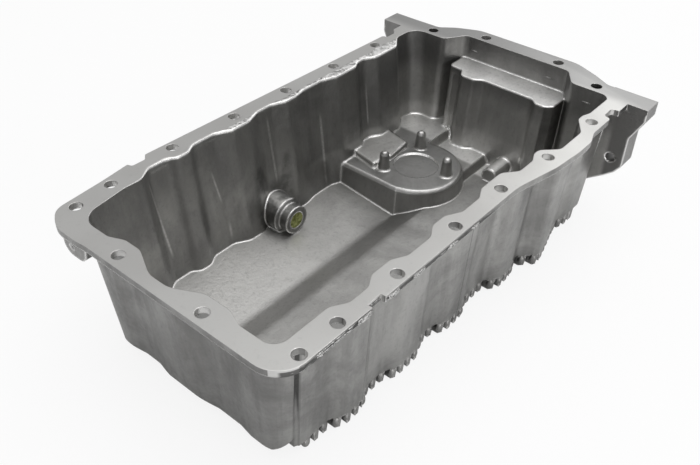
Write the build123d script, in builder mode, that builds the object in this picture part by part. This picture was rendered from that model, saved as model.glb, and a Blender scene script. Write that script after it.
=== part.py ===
from build123d import *
from math import cos, radians, sin, tan
import os

# Engine oil pan: one die casting that closes the engine from below, and its drain plug.
# Lengths are in millimetres. Distances along the pan run from its first pair of rail bolts
# towards the gearbox, distances across it run from the crankshaft's line, positive to the
# far side, and depths run down from the sealing face.

# Sealing flange, seen from above
FRONT_EDGE = 20.5
REAR_EDGE = 395.5
NEAR_EDGE = 106.2
FAR_EDGE = 110.3
FAR_TAPER = 0.019
FLANGE_THICKNESS = 5.0
FRONT_NEAR_CORNER = 20.0

# Gearbox end: its two lugs and the deep rail between them
LUG_FACE = 378.9
LUG_THICKNESS = 19.0
FAR_LUG_SHIFT = 3.6
LUG_REACH = 24.4
FAR_LUG_REACH = 21.9
LUG_HOLE = 8.5
LUG_HOLE_DEPTH = 51.0
LUG_HOLE_INSET = 20.0
REAR_RAIL_START = 361.0
REAR_RAIL_DEPTH = 26.0
# A lug's outline down from its tip (how far in from the tip, depth, corner radius), then at the
# flange's edge (how far in from the edge, depth, corner radius)
LUG_OUTLINE = ((0.0, 11.0, 1.0), (9.0, 29.0, 4.0), (9.0, 56.0, 4.0), (14.0, 63.0, 4.0))
LUG_ROOT = ((-2.0, 70.0, 4.0), (12.0, 80.0, 0.0))

# Outer line of the flange as corners. Near edge: place along the pan, how far it stands beyond
# the straight edge, corner radius. It swells round the rear bays and is notched before the lug.
NEAR_CORNERS = (
    (205.0, 1.5, 60.0),
    (244.0, 9.5, 40.0),
    (272.0, 12.0, 30.0),
    (290.0, 12.0, 18.0),
    (303.0, 7.6, 14.0),
    (329.5, 7.6, 3.0),
    (331.5, 1.6, 3.0),
    (344.5, 1.6, 3.0),
    (345.0, 7.6, 0.0),
    (LUG_FACE, 7.6, 0.0),
)
# Gearbox end: place along, place across, corner radius
REAR_CORNERS = (
    (378.0, -88.0, 8.0),
    (386.0, -74.0, 30.0),
    (REAR_EDGE, -52.0, 25.0),
    (REAR_EDGE, 45.0, 25.0),
    (386.0, 65.0, 30.0),
    (376.0, 77.5, 8.0),
)
# Far edge: place along, how far it stands beyond the straight edge, corner radius
FAR_CORNERS = (
    (LUG_FACE - FAR_LUG_SHIFT, 3.0, 0.0),
    (344.0, 1.5, 3.0),
    (340.5, -4.0, 2.0),
    (327.0, -4.0, 2.0),
    (328.5, 0.0, 2.0),
    (66.5, 0.0, 2.0),
    (62.5, -5.0, 2.0),
    (51.8, -5.0, 2.0),
    (50.5, -1.3, 1.0),
    (27.0, -5.0, 60.0),
    (-11.5, -9.5, 14.0),
)
# Front edge: how far it stands beyond the straight edge, how far inside the far edge, radius
FRONT_CORNERS = (
    (1.0, 24.3, 25.0),
    (1.0, 44.3, 30.0),
    (0.0, 54.3, 30.0),
)

# Bolts through the flange
BOLT_HOLE = 9.0
BOLT_INSET = 6.4
FAR_BOLT_INSET = 6.5
NEAR_BOLTS = (0.0, 30.5, 83.5, 143.0, 196.5)
FAR_BOLTS = (85.0, 143.5, 198.5, 254.5, 308.5)
SWELL_BOLTS = ((251.5, 1.8), (316.0, 1.0))
CORNER_BOLTS = ((-0.5, 16.3), (29.0, 12.25))
FRONT_BOLT_INSET = 8.2
FRONT_BOLTS = (-39.0, 35.0)
REAR_BOLT_INSET = 9.0
REAR_BOLTS = (-38.5, 33.5)
REAR_CORNER_BOLTS = ((370.0, -82.0), (367.5, 77.5))

# Walls: where each land beside a bolt and each bay between bolts starts and ends along the
# pan, and how far inside the flange's edge its inner face stands at the sealing face
NEAR_WALL = (
    (9.0, 36.5, 18.2),
    (47.0, 63.5, 11.8),
    (73.0, 90.5, 17.2),
    (101.0, 124.0, 11.7),
    (134.0, 147.0, 17.6),
    (158.5, 178.0, 11.4),
    (188.0, 212.0, 16.4),
    (223.0, 240.0, 7.6),
    (248.5, 255.0, 11.4),
    (266.5, 297.0, -0.1),
    (313.0, 320.0, 10.5),
    (327.0, 362.0, 8.0),
)
FAR_WALL = (
    (31.0, 46.0, 23.1),
    (57.0, 73.0, 16.3),
    (79.0, 89.0, 21.1),
    (97.0, 117.0, 16.3),
    (130.0, 146.0, 22.7),
    (160.0, 174.0, 17.5),
    (188.0, 197.0, 22.7),
    (208.0, 229.0, 20.3),
    (244.0, 267.0, 25.5),
    (274.0, 282.0, 21.3),
    (293.0, 320.0, 27.3),
    (334.0, 359.0, 17.3),
)
# Front wall, at its corners: how far inside the far edge, how far its face stands in and how
# round the corner is, then the same with the place across, then with how far inside the near edge
FRONT_WALL_FAR = ((56.3, 0.0, 8.0), (67.3, 4.8, 8.0), (81.3, 4.8, 12.0))
FRONT_WALL_MIDDLE = ((8.0, -5.6, 18.0), (-9.0, -5.6, 18.0))
FRONT_WALL_NEAR = ((77.2, 4.8, 12.0), (57.2, 4.8, 10.0), (45.2, 0.0, 10.0))
FRONT_CORNER = 10.0
NEAR_REAR_CORNER = 8.0
FAR_REAR_CORNER = 13.0
FAR_FRONT_CORNER = 15.0
FAR_FRONT_INSET = 28.8
FAR_FRONT_BEND = 20.0
FAR_SIDE_STEP = 2.0
SHELF_STEP = 6.0
STEP_RADIUS = 7.0
CORNER_SHARE = 0.98
WALL = 4.0
INSIDE_FRONT = 5.8
INSIDE_REAR = 379.0
REAR_SIDE = 17.5
SCALLOP_RADIUS = 8.0
NEAR_DRAFT = 4.5
FAR_DRAFT = 6.0
FRONT_DRAFT = 3.5
OUTSIDE_DRAFT = 3.0
FAR_OUTSIDE_DRAFT = 5.0
BOTTOM_RADIUS = 10.0
BOTTOM_LEAN = 6.0
BOTTOM_INSET = 0.5
FRONT_CORNER_ROUNDING = 18.0
RAMP_RADIUS = 4.0

# Outside of the walls at the sealing face and at the bottom: how much rounder than inside the
# pan's four corners are, the share of the front wall's relief that it keeps, and how far the rear
# end of the near rail's deepest bay comes forward
OUTSIDE_TOP = (6.0, 0.8, 4.0)
OUTSIDE_FOOT = (8.0, 0.5, 24.0)

# Upright groove in the near wall, just behind its front corner
GROOVE_ALONG = 8.0
GROOVE_RADIUS = 3.0
GROOVE_DEPTH = 2.2

# Near edge of the flange: a notch, and the stubs left where the casting's gates were cut off
NOTCH = (52.0, 64.0)
NOTCH_DEPTH = 3.0
GATES = ((40.0, 51.0), (67.0, 76.0), (90.0, 101.0), (125.0, 136.0), (150.0, 159.0))
GATE_HEIGHT = 3.0
GATE_DEPTH = 3.2
GATE_STUB = 1.0

# Floor
HEIGHT = 110.0
FLOOR = 5.0
FAR_FLOOR_DROP = 1.0
GUTTER_LINE = 17.0
GUTTER_RISE = 22.0
RAMP_HEAD = 12.0
RAMP_FOOT = 26.0
REAR_FLOOR_RISE = 8.0
REAR_FAR_FLOOR_RISE = 15.0
REAR_FLOOR_START = 300.0
REAR_FLOOR_SIDE = -4.0
REAR_FLOOR_BEND = 36.0
REAR_FLOOR_STEP = 4.0
REAR_UNDERSIDE_START = 304.0
FIN_UNDERSIDE_END = 342.0
RIB_START = 321.0
RIB_LINE = -24.0
RIB_RISE = 5.0
RIB_RADIUS = 7.5

# Cooling fins under the near half of the floor
FIN_PITCH = 8.0
FIN_GAP = 3.6
FIN_GAP_MOUTH = 5.0
FIN_HEIGHT = 10.0
FIRST_GAP = 14.5
FIN_GAPS = 41
FIN_END = -4.0

# Raised pad with its recess and three posts
PAD_CENTRE = (281.0, 26.5)
PAD_RADIUS = 40.0
PAD_RISE = 15.0
PAD_DRAFT = 8.0
PAD_WING = ((237.0, FAR_EDGE), (237.0, 16.0), (259.0, -2.0))
RECESS_RADIUS = 19.5
RECESS_DEPTH = 2.0
POST_CIRCLE = 28.5
POST_ANGLES = (29.0, 141.0, 280.0)
POST_BASE = (10.8, 10.4)
POST_TOP = (7.9, 7.7)
POST_HEIGHT = 17.0
POST_ROUNDING = 2.0
PAD_EDGE = 2.0
PAD_UNDERSIDE_INSET = 2.0

# Platform beside the pad, against the far wall
PLATFORM_RISE = 5.0
PLATFORM = ((259.5, 83.0), (252.5, 50.5), (268.0, 50.5), (272.5, 47.5), (299.5, 50.0), (307.0, 82.0))
PLATFORM_UNDERSIDE = (259.0, 300.0, 72.0)

# Shelf in the rear wall
SHELF_DEPTH = 20.0
SHELF_FRONT = 352.0
SHELF_NEAR_INSET = 48.2
SHELF_FAR_INSET = 61.3
SHELF_SLOPE = 5.0
# Its front line with a lobe near each end: place along, how far in from that end, corner radius
SHELF_FAR_LOBE = (
    (356.0, 0.0, 3.0),
    (355.0, 13.0, 5.0),
    (346.0, 18.0, 5.0),
    (346.0, 31.0, 5.0),
    (351.0, 38.0, 6.0),
)
SHELF_NEAR_LOBE = (
    (350.5, 20.0, 5.0),
    (345.5, 15.0, 4.0),
    (345.5, 6.0, 4.0),
    (351.0, 0.0, 2.0),
)

# Drain boss and plug, square to the far wall
DRAIN_ALONG = 163.0
DRAIN_RISE = 7.0
DRAIN_TIP_INSET = 52.3
DRAIN_BOSS = ((0.0, 12.0), (8.0, 12.0), (10.0, 15.0))
DRAIN_SEAT_INSET = 17.3
DRAIN_SEAT_RADIUS = 15.0
PLUG_THREAD = 14.0
PLUG_PLAY = 0.1
PLUG_HEX = 17.0
PLUG_HEX_HEIGHT = 7.0
PLUG_COLLAR = 20.0
PLUG_COLLAR_HEIGHT = 2.0
WASHER_OUTER = 22.0
WASHER_THICKNESS = 1.5

# Eye under the flange at the front
EYE_THICKNESS = 6.0
EYE_NEAR_INSETS = (48.3, 44.3)
EYE_FAR_INSET = 23.3
EYE_DEPTH = 22.0
EYE_ROUNDING = 8.0
EYE_HOLE = 4.0
EYE_HOLE_DEPTH = 15.0

gutter = HEIGHT - FLOOR
near_floor = gutter - FIN_HEIGHT
far_floor = near_floor + FAR_FLOOR_DROP
rear_floor = near_floor - REAR_FLOOR_RISE
rear_far_floor = near_floor - REAR_FAR_FLOOR_RISE
rib_depth = near_floor - RIB_RISE
pad_depth = near_floor - PAD_RISE
platform_depth = pad_depth - PLATFORM_RISE
drain_depth = near_floor - DRAIN_RISE
drain_tip = FAR_EDGE - DRAIN_TIP_INSET
drain_seat = FAR_EDGE - DRAIN_SEAT_INSET
near_wall = [(start, end, NEAR_EDGE - inset) for start, end, inset in NEAR_WALL]
far_wall = [(start, end, FAR_EDGE - inset) for start, end, inset in FAR_WALL]
front_wall = [(FAR_EDGE - inset, stands, radius) for inset, stands, radius in FRONT_WALL_FAR]
front_wall += FRONT_WALL_MIDDLE
front_wall += [(inset - NEAR_EDGE, stands, radius) for inset, stands, radius in FRONT_WALL_NEAR]
shelf_near = SHELF_NEAR_INSET - NEAR_EDGE
shelf_far = FAR_EDGE - SHELF_FAR_INSET
eye_far = FAR_EDGE - EYE_FAR_INSET
eye_near = [FAR_EDGE - inset for inset in EYE_NEAR_INSETS]
near_tip = -(NEAR_EDGE + LUG_REACH)
far_tip = FAR_EDGE - FAR_TAPER * LUG_FACE + FAR_LUG_REACH
middle_along = (REAR_EDGE - FRONT_EDGE) / 2
middle_across = (near_tip + far_tip) / 2
sealing_face = Plane(origin=(-middle_along, -middle_across, HEIGHT))


def level(depth):
    """A plane seen from above, this far under the sealing face."""
    return sealing_face.offset(-depth)


def cross_section(along):
    """A plane square to the pan's length, looking from the rear: its axes are across and up."""
    origin = sealing_face.from_local_coords((along, 0, 0))
    return Plane(origin=origin, x_dir=(0, 1, 0), z_dir=(1, 0, 0))


def long_section(across):
    """A plane along the pan, seen from the near side: its axes are along and up."""
    origin = sealing_face.from_local_coords((0, across, 0))
    return Plane(origin=origin, x_dir=(1, 0, 0), z_dir=(0, -1, 0))


def far_edge(along):
    """The far rail runs slightly towards the crankshaft's line as it goes back."""
    return FAR_EDGE - FAR_TAPER * along


def round_corner(before, corner, after, radius):
    """A corner as three arcs that follow each other round it, as points with their radii."""
    incoming = (Vector(*before) - Vector(*corner)).normalized()
    outgoing = (Vector(*after) - Vector(*corner)).normalized()
    turn = radians(180 - incoming.get_angle(outgoing))
    bisector = (incoming + outgoing).normalized()
    centre = Vector(*corner) + bisector * (radius / cos(turn / 2))
    reach = radius * (tan(turn / 2) - tan(turn / 6))
    points = (
        Vector(*corner) + incoming * reach,
        centre - bisector * (radius / cos(turn / 6)),
        Vector(*corner) + outgoing * reach,
    )
    return [((point.X, point.Y), CORNER_SHARE * radius) for point in points]


def wall_corners(front=0.0, rear=0.0, near=0.0, far=0.0, corner=0.0, relief=1.0, swell_slope=0.0):
    """Corners of the wall's scalloped line with their radii, each side moved in by its value.

    The pan's own four corners are rounder by corner, the front wall's lands and bay stand out
    from it by this share of their full relief, and the rear end of the near rail's deepest bay
    comes forward by swell_slope.
    """
    front_line = -INSIDE_FRONT + front
    rear_line = INSIDE_REAR - rear
    side_line = rear_line - REAR_SIDE
    near_first, near_last = near - near_wall[0][2], near - near_wall[-1][2]
    far_first, far_last = far_wall[0][2] - far, far_wall[-1][2] - far
    far_side_line = side_line - FAR_SIDE_STEP
    far_front = (front_line, FAR_EDGE - FAR_FRONT_INSET - far)
    deepest = max(reach for start, end, reach in near_wall)

    near_start, near_end = (near_wall[0][1], near_first), (near_wall[-1][0], near_last)
    far_end, far_start = (far_wall[-1][0], far_last), (far_wall[0][0], far_first)

    corners = round_corner((front_line, 0), (front_line, near_first), near_start, FRONT_CORNER + corner)
    corners += [(near_start, SCALLOP_RADIUS)]
    for start, end, reach in near_wall[1:-1]:
        if reach == deepest:
            end -= swell_slope
        corners += [((start, near - reach), SCALLOP_RADIUS), ((end, near - reach), SCALLOP_RADIUS)]
    corners += [(near_end, SCALLOP_RADIUS)]
    corners += round_corner(near_end, (side_line, near_last), (side_line, 0), NEAR_REAR_CORNER + corner / 2)
    corners += [
        ((side_line, shelf_near - SHELF_STEP), STEP_RADIUS),
        ((rear_line, shelf_near + SHELF_STEP), STEP_RADIUS),
        ((rear_line, shelf_far), STEP_RADIUS),
        ((far_side_line, shelf_far + 2 * SHELF_STEP), STEP_RADIUS),
    ]
    corners += round_corner((far_side_line, 0), (far_side_line, far_last), far_end, FAR_REAR_CORNER + corner / 2)
    corners += [(far_end, SCALLOP_RADIUS)]
    for start, end, reach in reversed(far_wall[1:-1]):
        corners += [((end, reach - far), SCALLOP_RADIUS), ((start, reach - far), SCALLOP_RADIUS)]
    corners += [
        ((far_wall[0][1], far_first), SCALLOP_RADIUS),
        (far_start, FAR_FRONT_BEND),
    ]
    corners += round_corner(far_start, far_front, (front_line, 0), FAR_FRONT_CORNER + corner)
    for across, stands, radius in front_wall:
        corners += [((front_line + stands * relief, across), radius)]
    return corners


def rounded(corners):
    """A closed line through the corners, each with its own radius."""
    points = [point for point, radius in corners]
    radii = [radius for point, radius in corners]
    return FilletPolyline(*points, radius=radii, close=True)


def draw_in(depth, degrees):
    """How far a drafted wall has come in at a depth."""
    return depth * tan(radians(degrees))


front_bulge = -min(stands for across, stands, radius in front_wall)
front_foot = -INSIDE_FRONT - front_bulge * OUTSIDE_FOOT[1] - WALL + draw_in(HEIGHT, OUTSIDE_DRAFT) - BOTTOM_INSET
near_foot = -near_wall[0][2] - WALL + draw_in(HEIGHT, OUTSIDE_DRAFT) - BOTTOM_INSET
far_foot = far_wall[1][2] + WALL - draw_in(HEIGHT, FAR_OUTSIDE_DRAFT) + BOTTOM_INSET


def flange_corners():
    """Corners of the flange's outer line with their radii, from the near front corner round."""
    corners = [((-FRONT_EDGE, -NEAR_EDGE), FRONT_NEAR_CORNER)]
    corners += [((along, -NEAR_EDGE - beyond), radius) for along, beyond, radius in NEAR_CORNERS]
    corners += [((along, across), radius) for along, across, radius in REAR_CORNERS]
    corners += [((along, far_edge(along) + beyond), radius) for along, beyond, radius in FAR_CORNERS]
    corners += [((-FRONT_EDGE - beyond, FAR_EDGE - inset), radius) for beyond, inset, radius in FRONT_CORNERS]
    return corners


def bolt_places():
    """Centres of all the bolt holes, along and across."""
    near = [(along, -NEAR_EDGE + BOLT_INSET) for along in NEAR_BOLTS]
    near += [(along, -NEAR_EDGE + inset) for along, inset in SWELL_BOLTS]
    far = [(along, far_edge(along) - FAR_BOLT_INSET) for along in FAR_BOLTS]
    far += [(along, far_edge(along) - inset) for along, inset in CORNER_BOLTS]
    front = [(-FRONT_EDGE + FRONT_BOLT_INSET, across) for across in FRONT_BOLTS]
    rear = [(REAR_EDGE - REAR_BOLT_INSET, across) for across in REAR_BOLTS]
    return near + far + front + rear + list(REAR_CORNER_BOLTS)


def lug_corners(side, root, tip):
    """Corners of a gearbox lug, across and up, on the near side (-1) or the far side (1)."""
    corners = [((root - side * LUG_ROOT[-1][0], 0), 0), ((tip, 0), 0)]
    corners += [((tip - side * inside, -depth), radius) for inside, depth, radius in LUG_OUTLINE]
    corners += [((root - side * inside, -depth), radius) for inside, depth, radius in LUG_ROOT]
    return corners


def rear_floor_corners(below):
    """Corners across and up of what lies under the rear floor, this far below its surface."""
    return [
        (REAR_FLOOR_SIDE - REAR_FLOOR_STEP, -near_floor - below),
        (REAR_FLOOR_SIDE, -rear_floor - below),
        (REAR_FLOOR_BEND, -rear_floor - below),
        (REAR_FLOOR_BEND + REAR_FLOOR_STEP, -rear_far_floor - below),
        (FAR_EDGE, -rear_far_floor - below),
        (FAR_EDGE, -HEIGHT - 1),
        (REAR_FLOOR_SIDE - REAR_FLOOR_STEP, -HEIGHT - 1),
    ]


head_seat = drain_seat + WASHER_THICKNESS
shelf_foot = (HEIGHT - SHELF_DEPTH) * tan(radians(SHELF_SLOPE))
collar_top = head_seat + PLUG_COLLAR_HEIGHT


# Pad on the floor, with its edge broken
with BuildPart() as pad:
    with BuildSketch(level(HEIGHT)):
        with Locations(PAD_CENTRE):
            Circle(PAD_RADIUS + draw_in(HEIGHT - pad_depth, PAD_DRAFT))
        with BuildLine():
            Polyline(
                *PAD_WING, (PAD_CENTRE[0], PAD_CENTRE[1] - PAD_RADIUS), (PAD_CENTRE[0], FAR_EDGE), close=True,
            )
        make_face()
    extrude(amount=HEIGHT - pad_depth, taper=PAD_DRAFT)
    chamfer(pad.faces().sort_by(Axis.Z)[-1].edges(), length=PAD_EDGE)

# Posts on the pad, drawn in towards their rounded tops
with BuildPart() as posts:
    for angle in POST_ANGLES:
        along = PAD_CENTRE[0] + POST_CIRCLE * cos(radians(angle))
        across = PAD_CENTRE[1] + POST_CIRCLE * sin(radians(angle))
        post_levels = (
            (pad_depth + 1, POST_BASE[0] / 2, POST_BASE[1] / 2),
            (pad_depth - POST_HEIGHT + POST_ROUNDING, POST_TOP[0] / 2, POST_TOP[1] / 2),
            (pad_depth - POST_HEIGHT, POST_TOP[0] / 2 - POST_ROUNDING, POST_TOP[1] / 2 - POST_ROUNDING),
        )
        for depth, half_along, half_across in post_levels:
            with BuildSketch(level(depth)):
                with Locations((along, across)):
                    Ellipse(half_along, half_across)
        loft(ruled=True)

# The space inside, with everything that stands up from the floor or out from the walls
core_depth = gutter + 1
with BuildPart() as core:
    with BuildSketch(level(0)):
        with BuildLine():
            rounded(wall_corners())
        make_face()
    with BuildSketch(level(core_depth)):
        with BuildLine():
            rounded(wall_corners(
                front=draw_in(core_depth, FRONT_DRAFT),
                rear=draw_in(core_depth, FRONT_DRAFT),
                near=draw_in(core_depth, NEAR_DRAFT),
                far=draw_in(core_depth, FAR_DRAFT),
                swell_slope=OUTSIDE_FOOT[2],
            ))
        make_face()
    loft(ruled=True)

    # Floor with its gutter
    with BuildSketch(cross_section(-FRONT_EDGE)):
        with BuildLine():
            Polyline(
                (FAR_EDGE, -far_floor + 1), (GUTTER_LINE, -gutter), (GUTTER_LINE - GUTTER_RISE, -near_floor),
                (-NEAR_EDGE, -near_floor), (-NEAR_EDGE, -HEIGHT), (FAR_EDGE, -HEIGHT), close=True,
            )
        make_face()
    extrude(amount=REAR_EDGE + FRONT_EDGE, mode=Mode.SUBTRACT)

    # Ramp that closes the gutter at the front
    with BuildSketch(long_section(FAR_EDGE)):
        with BuildLine():
            Polyline(
                (-FRONT_EDGE, -near_floor), (RAMP_HEAD, -near_floor), (RAMP_FOOT, -core_depth),
                (-FRONT_EDGE, -core_depth), close=True,
            )
        make_face()
    extrude(amount=FAR_EDGE + NEAR_EDGE, mode=Mode.SUBTRACT)

    # Higher floor at the gearbox end, in two levels
    with BuildSketch(cross_section(REAR_FLOOR_START)):
        with BuildLine():
            Polyline(*rear_floor_corners(0), close=True)
        make_face()
    extrude(amount=REAR_EDGE - REAR_FLOOR_START, mode=Mode.SUBTRACT)

    # Round rib along the floor to the rear wall
    with BuildSketch(cross_section(RIB_START)):
        with Locations((RIB_LINE, -rib_depth)):
            Circle(RIB_RADIUS)
    extrude(amount=REAR_EDGE - RIB_START, mode=Mode.SUBTRACT)

    # Shelf in the rear wall, on a wall that comes forward towards the floor
    with BuildSketch(level(SHELF_DEPTH)):
        with BuildLine():
            rounded([
                ((REAR_EDGE, shelf_far), 0),
                *[((along, shelf_far - inside), radius) for along, inside, radius in SHELF_FAR_LOBE],
                *[((along, shelf_near + inside), radius) for along, inside, radius in SHELF_NEAR_LOBE],
                ((REAR_EDGE, shelf_near), 0),
            ])
        make_face()
    extrude(amount=HEIGHT, dir=(-tan(radians(SHELF_SLOPE)), 0, -1), mode=Mode.SUBTRACT)

    # Pad
    add(pad.part, mode=Mode.SUBTRACT)
    with BuildSketch(level(pad_depth + RECESS_DEPTH)):
        with Locations(PAD_CENTRE):
            Circle(RECESS_RADIUS)
    extrude(amount=RECESS_DEPTH)
    add(posts.part, mode=Mode.SUBTRACT)

    # Platform
    with BuildSketch(level(HEIGHT)):
        with BuildLine():
            Polyline(
                *PLATFORM, (PLATFORM[-1][0], FAR_EDGE), (PLATFORM[0][0], FAR_EDGE), close=True,
            )
        make_face()
    extrude(amount=HEIGHT - platform_depth, mode=Mode.SUBTRACT)

    # Drain boss
    with BuildSketch(level(drain_depth)):
        with BuildLine():
            Polyline(
                (DRAIN_ALONG, drain_tip),
                *[(DRAIN_ALONG + radius, drain_tip + behind) for behind, radius in DRAIN_BOSS],
                (DRAIN_ALONG + DRAIN_BOSS[-1][1], FAR_EDGE), (DRAIN_ALONG, FAR_EDGE), close=True,
            )
        make_face()
    drain_axis = Axis(sealing_face.from_local_coords((DRAIN_ALONG, 0, -drain_depth)), (0, 1, 0))
    revolve(axis=drain_axis, mode=Mode.SUBTRACT)

with BuildPart() as oil_pan:
    # Walls and bottom as one drafted block
    with BuildSketch(level(0)):
        with BuildLine():
            rounded(wall_corners(-WALL, -WALL, -WALL, -WALL, *OUTSIDE_TOP))
        make_face()
    with BuildSketch(level(HEIGHT)):
        come_in = draw_in(HEIGHT, OUTSIDE_DRAFT) - WALL
        far_come_in = draw_in(HEIGHT, FAR_OUTSIDE_DRAFT) - WALL
        with BuildLine():
            rounded(wall_corners(come_in, come_in, come_in, far_come_in, *OUTSIDE_FOOT))
        make_face()
    loft(ruled=True)

    # Underside rising to the far wall, where it rounds up
    with BuildSketch(cross_section(-2 * FRONT_EDGE)):
        with BuildLine():
            FilletPolyline(
                (GUTTER_LINE, -HEIGHT), (far_foot, -far_floor - FLOOR), (far_foot + BOTTOM_LEAN, 0),
                (FAR_EDGE + WALL, 0), (FAR_EDGE + WALL, -HEIGHT - 1), (GUTTER_LINE, -HEIGHT - 1),
                radius=(0, BOTTOM_RADIUS, 0, 0, 0, 0), close=True,
            )
        make_face()
    extrude(amount=2 * FRONT_EDGE + REAR_EDGE, mode=Mode.SUBTRACT)

    # Underside rising and rounding up to the front wall
    with BuildSketch(long_section(FAR_EDGE)):
        with BuildLine():
            FilletPolyline(
                (RAMP_FOOT - FLOOR / 2, -HEIGHT), (RAMP_HEAD - FLOOR / 2, -near_floor - FLOOR),
                (front_foot, -near_floor - FLOOR), (front_foot - BOTTOM_LEAN, 0),
                (-FRONT_EDGE - WALL, 0), (-FRONT_EDGE - WALL, -HEIGHT - 1), (RAMP_FOOT - FLOOR / 2, -HEIGHT - 1),
                radius=(0, RAMP_RADIUS, BOTTOM_RADIUS, 0, 0, 0, 0), close=True,
            )
        make_face()
    extrude(amount=FAR_EDGE + NEAR_EDGE, mode=Mode.SUBTRACT)

    # Underside rounding up to the near wall at the front corner
    with BuildSketch(cross_section(-2 * FRONT_EDGE)):
        with BuildLine():
            FilletPolyline(
                (0, -near_floor - FLOOR), (near_foot, -near_floor - FLOOR), (near_foot - BOTTOM_LEAN, 0),
                (-NEAR_EDGE, 0), (-NEAR_EDGE, -HEIGHT - 1), (0, -HEIGHT - 1),
                radius=(0, FRONT_CORNER_ROUNDING, 0, 0, 0, 0), close=True,
            )
        make_face()
    extrude(amount=2 * FRONT_EDGE + GROOVE_ALONG, mode=Mode.SUBTRACT)

    # Groove behind the front corner
    groove_head = sealing_face.from_local_coords((
        GROOVE_ALONG, -near_wall[0][2] - WALL - GROOVE_RADIUS + GROOVE_DEPTH, -FLANGE_THICKNESS,
    ))
    with BuildSketch(Plane(groove_head, x_dir=(1, 0, 0), z_dir=(0, sin(radians(OUTSIDE_DRAFT)), -1))):
        Circle(GROOVE_RADIUS)
    extrude(amount=HEIGHT, mode=Mode.SUBTRACT)

    # Underside under the higher rear floor, and the rear wall below the shelf
    with BuildSketch(cross_section(REAR_UNDERSIDE_START)):
        with BuildLine():
            Polyline(*rear_floor_corners(FLOOR), close=True)
        make_face()
    extrude(amount=REAR_EDGE - REAR_UNDERSIDE_START, mode=Mode.SUBTRACT)
    with BuildSketch(long_section(FAR_EDGE)):
        with BuildLine():
            Polyline(
                (FIN_UNDERSIDE_END, -HEIGHT - 1), (FIN_UNDERSIDE_END, -near_floor - FLOOR),
                (REAR_EDGE, -near_floor - FLOOR), (REAR_EDGE, -HEIGHT - 1), close=True,
            )
        make_face()
    extrude(amount=FAR_EDGE - near_tip, mode=Mode.SUBTRACT)
    with BuildSketch(long_section(shelf_far - WALL)):
        with BuildLine():
            Polyline(
                (SHELF_FRONT + WALL, -REAR_RAIL_DEPTH), (REAR_EDGE, -REAR_RAIL_DEPTH), (REAR_EDGE, -HEIGHT - 1),
                (SHELF_FRONT + WALL - shelf_foot, -HEIGHT - 1), close=True,
            )
        make_face()
    extrude(amount=shelf_far - shelf_near - 2 * WALL, mode=Mode.SUBTRACT)

    # Hollow under the pad and the platform
    with BuildSketch(level(HEIGHT + 1)):
        with Locations(PAD_CENTRE):
            Circle(PAD_RADIUS - PAD_UNDERSIDE_INSET)
        with Locations((PAD_CENTRE[0], GUTTER_LINE - PAD_RADIUS)):
            Rectangle(3 * PAD_RADIUS, 2 * PAD_RADIUS - FLOOR, mode=Mode.SUBTRACT)
        with Locations((PAD_CENTRE[0] + PAD_RADIUS, PAD_CENTRE[1])):
            Rectangle(2 * (PAD_CENTRE[0] + PAD_RADIUS - REAR_UNDERSIDE_START), 3 * PAD_RADIUS, mode=Mode.SUBTRACT)
    extrude(amount=HEIGHT + 1 - pad_depth - FLOOR, mode=Mode.SUBTRACT)
    platform_start, platform_end, platform_far = PLATFORM_UNDERSIDE
    with BuildSketch(level(HEIGHT + 1)):
        with Locations(((platform_start + platform_end) / 2, (PAD_CENTRE[1] + platform_far) / 2)):
            Rectangle(platform_end - platform_start, platform_far - PAD_CENTRE[1])
    extrude(amount=HEIGHT + 1 - pad_depth - FLOOR, mode=Mode.SUBTRACT)

    # Gaps between the cooling fins, wider at their mouth
    first_gap = long_section(FIN_END).from_local_coords((FIRST_GAP, -HEIGHT, 0))
    with BuildSketch(Plane(first_gap, x_dir=(1, 0, 0), z_dir=(0, -1, 0))):
        with Locations(((FIN_GAPS - 1) * FIN_PITCH / 2, 0)):
            with GridLocations(FIN_PITCH, 1, FIN_GAPS, 1):
                Polygon(
                    (-FIN_GAP_MOUTH / 2, -1), (FIN_GAP_MOUTH / 2, -1), (FIN_GAP / 2, FIN_HEIGHT),
                    (-FIN_GAP / 2, FIN_HEIGHT), align=None,
                )
        with Locations((-FIRST_GAP, FIN_HEIGHT / 2 - 0.5)):
            Rectangle(2 * FIRST_GAP, FIN_HEIGHT + 1)
    extrude(amount=FIN_END - near_tip, mode=Mode.SUBTRACT)

    # Sealing flange
    with BuildSketch(level(0)):
        with BuildLine():
            rounded(flange_corners())
        make_face()
    extrude(amount=-FLANGE_THICKNESS)

    # Gate stubs and notch on the flange's near edge
    with BuildSketch(long_section(-NEAR_EDGE)):
        for start, end in GATES:
            with Locations(((start + end) / 2, -GATE_DEPTH)):
                Rectangle(end - start, GATE_HEIGHT)
    extrude(amount=GATE_STUB)
    with BuildSketch(level(0)):
        with Locations(((NOTCH[0] + NOTCH[1]) / 2, -NEAR_EDGE)):
            Rectangle(NOTCH[1] - NOTCH[0], 2 * NOTCH_DEPTH)
    extrude(amount=-FLANGE_THICKNESS, mode=Mode.SUBTRACT)

    # Deep rail at the gearbox end
    with BuildSketch(level(0)):
        with BuildLine():
            rounded(flange_corners())
        make_face()
        with Locations((REAR_RAIL_START - REAR_EDGE, 0)):
            Rectangle(2 * REAR_EDGE, 4 * NEAR_EDGE, mode=Mode.SUBTRACT)
    extrude(amount=-REAR_RAIL_DEPTH)

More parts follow.
